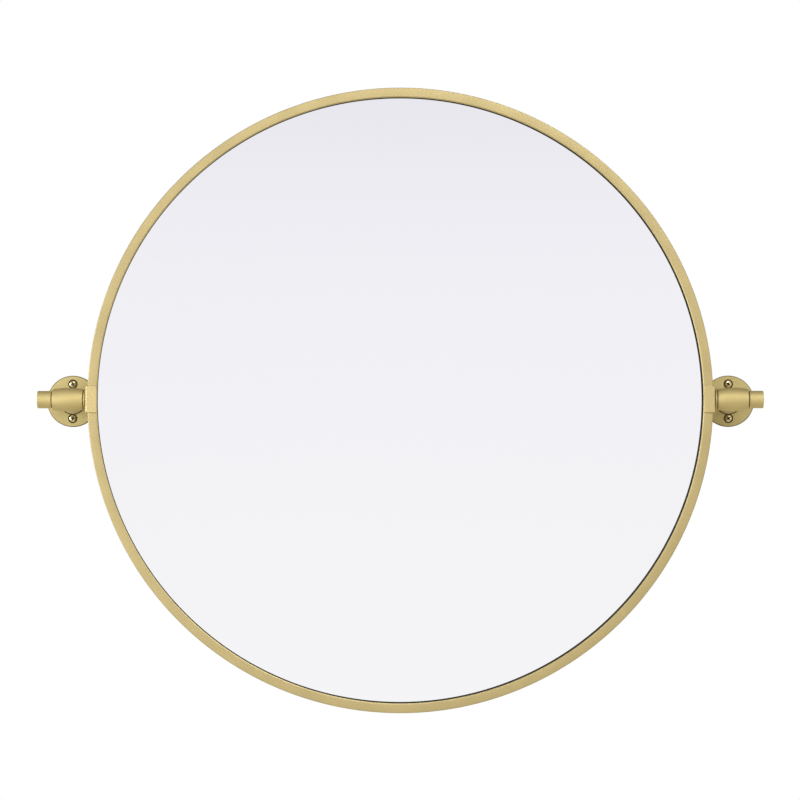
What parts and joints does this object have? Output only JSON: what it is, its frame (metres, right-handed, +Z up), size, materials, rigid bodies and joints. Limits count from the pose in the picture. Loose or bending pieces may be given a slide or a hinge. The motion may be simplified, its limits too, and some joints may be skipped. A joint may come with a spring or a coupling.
{
  "type": "pivot wall mirror",
  "caption": "Round wall mirror in a thin satin brass frame that tilts between two wall brackets with barrel heads, round flanges and end knobs.",
  "frame": {"origin": "on the wall plane, midway between the two wall flanges, at the height of the pivot axis", "axes": "+Z up, +X to the right of someone facing the mirror, -Y out of the wall, which is the way the mirror faces"},
  "size_m": [0.7082, 0.0868, 0.6096],
  "materials": {
    "frame_brass": "satin brushed brass finish on steel",
    "satin_brass": "satin brushed brass",
    "screw_brass": "brass-plated screw heads, brighter than the brackets",
    "zinc_steel": "zinc-plated steel",
    "mirror": "silvered glass",
    "rubber": "matt black rubber and foam",
    "fibre": "dark vulcanised fibre",
    "nylon": "natural nylon",
    "foam": "thin white foam sheet",
    "board": "raw fibreboard"
  },
  "bodies": {
    "brackets": {"left_barrel": "satin_brass", "left_pivot_bush": "nylon", "left_post": "satin_brass", "left_flange": "satin_brass", "right_barrel": "satin_brass", "right_pivot_bush": "nylon", "right_post": "satin_brass", "right_flange": "satin_brass", "post_screws": "zinc_steel", "wall_screws": "screw_brass"},
    "mirror": {"frame_ring": "frame_brass", "front_seal": "rubber", "mirror_glass": "mirror", "foam_sheet": "foam", "backing_board": "board", "edge_blocks": "rubber", "retaining_tabs": "zinc_steel", "tab_screws": "zinc_steel", "saddle_screws": "zinc_steel", "left_saddle": "frame_brass", "left_pivot_bolt": "zinc_steel", "left_friction_washers": "fibre", "left_spacer_washer": "satin_brass", "right_saddle": "frame_brass", "right_pivot_bolt": "zinc_steel", "right_friction_washers": "fibre", "right_spacer_washer": "satin_brass"},
    "left_knob_seat": {"left_knob_washer": "fibre"},
    "left_knob": {"left_knob": "satin_brass"},
    "right_knob_seat": {"right_knob_washer": "fibre"},
    "right_knob": {"right_knob": "satin_brass"}
  },
  "joints": [
    {"name": "mirror_tilt", "type": "hinge", "parent": "brackets", "child": "mirror", "pos_m": [0, -0.048, 0], "axis": [1, 0, 0], "range_deg": [-7, 7]},
    {"name": "left_knob_travel", "type": "slide", "parent": "mirror", "child": "left_knob_seat", "axis": [-1, 0, 0], "range_m": [0, 0.0025]},
    {"name": "left_knob_turn", "type": "hinge", "parent": "left_knob_seat", "child": "left_knob", "pos_m": [-0.3406, -0.048, 0], "axis": [-1, 0, 0], "range_deg": [0, 720]},
    {"name": "right_knob_travel", "type": "slide", "parent": "mirror", "child": "right_knob_seat", "axis": [1, 0, 0], "range_m": [0, 0.0025]},
    {"name": "right_knob_turn", "type": "hinge", "parent": "right_knob_seat", "child": "right_knob", "pos_m": [0.3406, -0.048, 0], "axis": [1, 0, 0], "range_deg": [0, 720]}
  ],
  "couplings": [
    {"joint": "left_knob_turn", "follows": "left_knob_travel", "rad_per_m": 5026.5},
    {"joint": "right_knob_turn", "follows": "right_knob_travel", "rad_per_m": 5026.5}
  ]
}
